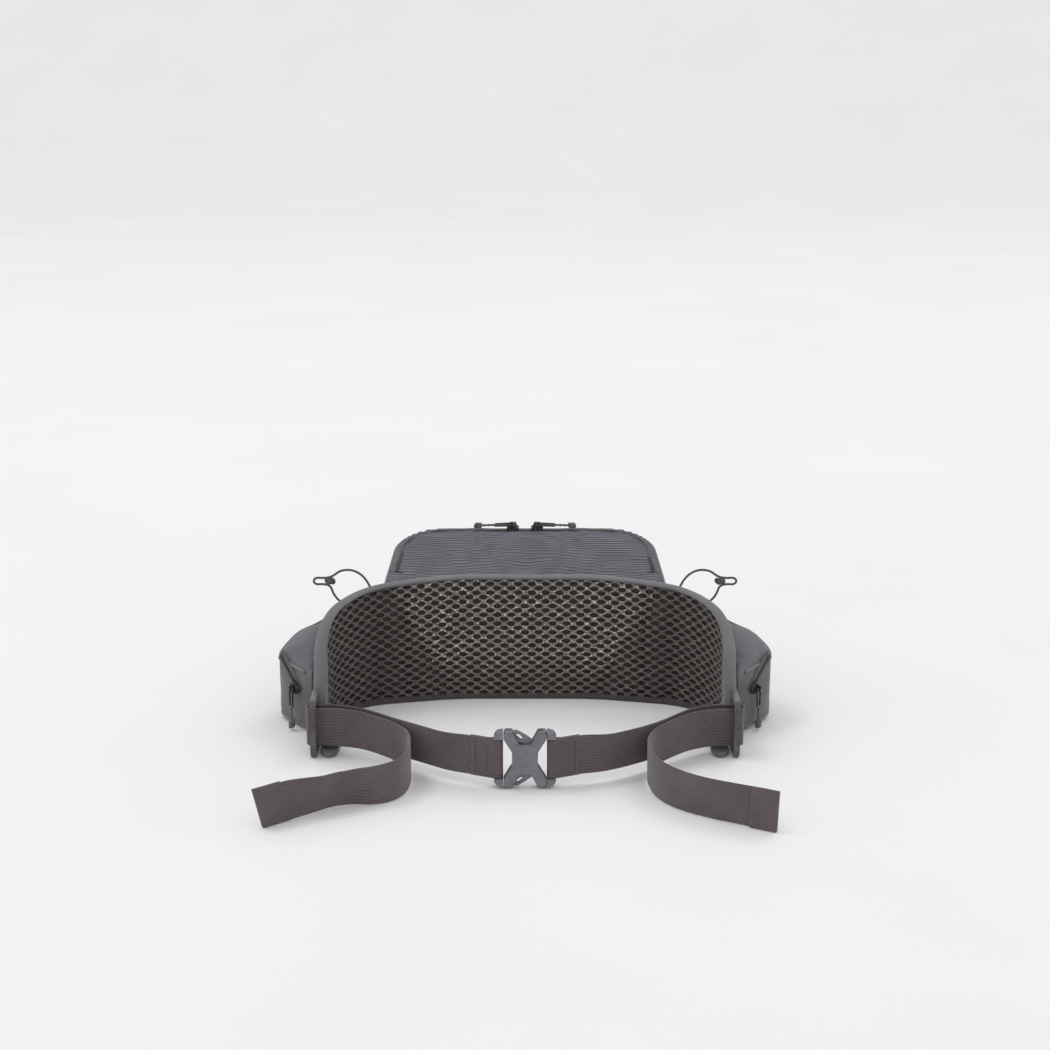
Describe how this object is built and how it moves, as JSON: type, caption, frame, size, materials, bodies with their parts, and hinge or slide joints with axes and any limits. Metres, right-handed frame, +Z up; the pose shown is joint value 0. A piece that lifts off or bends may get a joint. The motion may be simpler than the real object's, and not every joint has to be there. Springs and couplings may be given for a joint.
{
  "type": "waist pack",
  "caption": "Zipped hip pack with a curved mesh back panel, padded wings with zipped pockets, and a webbing belt closed by a side-release buckle.",
  "frame": {"origin": "on the ground under the middle of the pack's overall box", "axes": "+X to the side across the wings, +Y away from the wearer through the main compartment, +Z up"},
  "size_m": [0.4196, 0.4002, 0.1352],
  "materials": {
    "spacer_mesh": "open hexagonal spacer mesh",
    "foam": "dense padding foam",
    "binding": "smooth rolled binding",
    "shell_fabric": "plain-weave nylon",
    "ribbed_fabric": "ribbed nylon",
    "zip_tape": "woven tape",
    "zip_coil": "nylon coil",
    "webbing": "ribbed webbing",
    "buckle_plastic": "satin acetal",
    "lock_plastic": "glossy acetal",
    "slider_metal": "satin lacquer",
    "pull_cord": "twisted polyester cord",
    "elastic": "braided elastic cord"
  },
  "bodies": {
    "pack": {"back_foam": "foam", "back_mesh": "spacer_mesh", "belt_tail_left": "webbing", "belt_tail_right": "webbing", "belt_webbing_left": "webbing", "belt_webbing_right": "webbing", "bottom_binding": "binding", "buckle_back_plate": "buckle_plastic", "buckle_front_plate": "buckle_plastic", "buckle_socket": "buckle_plastic", "cord_anchors_left": "elastic", "cord_anchors_right": "elastic", "edge_binding": "binding", "elastic_cord_left": "elastic", "elastic_cord_right": "elastic", "elastic_knot_left": "elastic", "elastic_knot_right": "elastic", "lock_loop_left": "webbing", "lock_loop_right": "webbing", "main_shell": "shell_fabric", "main_zip_coil": "zip_coil", "main_zip_tape": "zip_tape", "pocket_shell_left": "shell_fabric", "pocket_shell_right": "shell_fabric", "pocket_top_left": "shell_fabric", "pocket_top_right": "shell_fabric", "pocket_zip_left_coil": "zip_coil", "pocket_zip_left_tape": "zip_tape", "pocket_zip_right_coil": "zip_coil", "pocket_zip_right_tape": "zip_tape", "sewn_end_right": "webbing", "tail_hem_left": "webbing", "tail_hem_right": "webbing", "top_panel": "ribbed_fabric", "wing_foam_left": "foam", "wing_foam_right": "foam", "wing_tab_left": "shell_fabric", "wing_tab_right": "shell_fabric"},
    "buckle_plug": {"buckle_plug": "buckle_plastic", "sewn_end_left": "webbing"},
    "prong_upper": {"buckle_prong_upper": "buckle_plastic"},
    "prong_lower": {"buckle_prong_lower": "buckle_plastic"},
    "main_slider_left": {"main_slider_left": "slider_metal"},
    "main_pull_left": {"main_pull_left_tab": "slider_metal", "main_pull_left_cord": "pull_cord", "main_pull_left_knot": "pull_cord"},
    "pocket_slider_left": {"pocket_slider_left": "slider_metal"},
    "pocket_pull_left": {"pocket_pull_left_tab": "slider_metal", "pocket_pull_left_cord": "pull_cord", "pocket_pull_left_knot": "pull_cord"},
    "ladder_lock_left": {"ladder_lock_left": "lock_plastic"},
    "main_slider_right": {"main_slider_right": "slider_metal"},
    "main_pull_right": {"main_pull_right_tab": "slider_metal", "main_pull_right_cord": "pull_cord", "main_pull_right_knot": "pull_cord"},
    "pocket_slider_right": {"pocket_slider_right": "slider_metal"},
    "pocket_pull_right": {"pocket_pull_right_tab": "slider_metal", "pocket_pull_right_cord": "pull_cord", "pocket_pull_right_knot": "pull_cord"},
    "ladder_lock_right": {"ladder_lock_right": "lock_plastic"}
  },
  "joints": [
    {"name": "buckle_release", "type": "slide", "parent": "pack", "child": "buckle_plug", "axis": [-1, 0, 0], "range_m": [0, 0.035], "deforming": ["belt_webbing_left"]},
    {"name": "prong_upper_squeeze", "type": "hinge", "parent": "buckle_plug", "child": "prong_upper", "pos_m": [-0.0165, -0.111, 0.0435], "axis": [0, 1, 0], "range_deg": [0, 8], "stiffness_Nm_per_rad": 0.05},
    {"name": "prong_lower_squeeze", "type": "hinge", "parent": "buckle_plug", "child": "prong_lower", "pos_m": [-0.0165, -0.111, 0.0043], "axis": [0, 1, 0], "range_deg": [-8, 0], "stiffness_Nm_per_rad": 0.05},
    {"name": "main_zip_left", "type": "slide", "parent": "pack", "child": "main_slider_left", "axis": [-1, 0, 0], "range_m": [0, 0.055]},
    {"name": "main_pull_left_flip", "type": "hinge", "parent": "main_slider_left", "child": "main_pull_left", "pos_m": [-0.011, 0.19018, 0.13274], "axis": [0, 0.983, 0.1837], "range_deg": [0, 110]},
    {"name": "pocket_zip_left", "type": "slide", "parent": "pack", "child": "pocket_slider_left", "axis": [-0.4759, 0.5857, 0.6561], "range_m": [0, 0.024]},
    {"name": "pocket_pull_left_swing", "type": "hinge", "parent": "pocket_slider_left", "child": "pocket_pull_left", "pos_m": [-0.19523, 0.01362, 0.03694], "axis": [-0.6306, 0.7761, 0], "range_deg": [0, 100]},
    {"name": "ladder_lock_left_tilt", "type": "hinge", "parent": "pack", "child": "ladder_lock_left", "pos_m": [-0.17, -0.0195, 0.0239], "axis": [0, 0, -1], "range_deg": [0, 30], "deforming": ["belt_tail_left"]},
    {"name": "main_zip_right", "type": "slide", "parent": "pack", "child": "main_slider_right", "axis": [1, 0, 0], "range_m": [0, 0.055]},
    {"name": "main_pull_right_flip", "type": "hinge", "parent": "main_slider_right", "child": "main_pull_right", "pos_m": [0.011, 0.19018, 0.13274], "axis": [0, -0.983, -0.1837], "range_deg": [0, 110]},
    {"name": "pocket_zip_right", "type": "slide", "parent": "pack", "child": "pocket_slider_right", "axis": [0.4759, 0.5857, 0.6561], "range_m": [0, 0.024]},
    {"name": "pocket_pull_right_swing", "type": "hinge", "parent": "pocket_slider_right", "child": "pocket_pull_right", "pos_m": [0.19523, 0.01362, 0.03694], "axis": [-0.6306, -0.7761, 0], "range_deg": [0, 100]},
    {"name": "ladder_lock_right_tilt", "type": "hinge", "parent": "pack", "child": "ladder_lock_right", "pos_m": [0.17, -0.0195, 0.0239], "axis": [0, 0, 1], "range_deg": [0, 30], "deforming": ["belt_tail_right", "belt_webbing_right"]}
  ],
  "couplings": [
    {"joint": "prong_lower_squeeze", "follows": "prong_upper_squeeze", "ratio": -1}
  ]
}
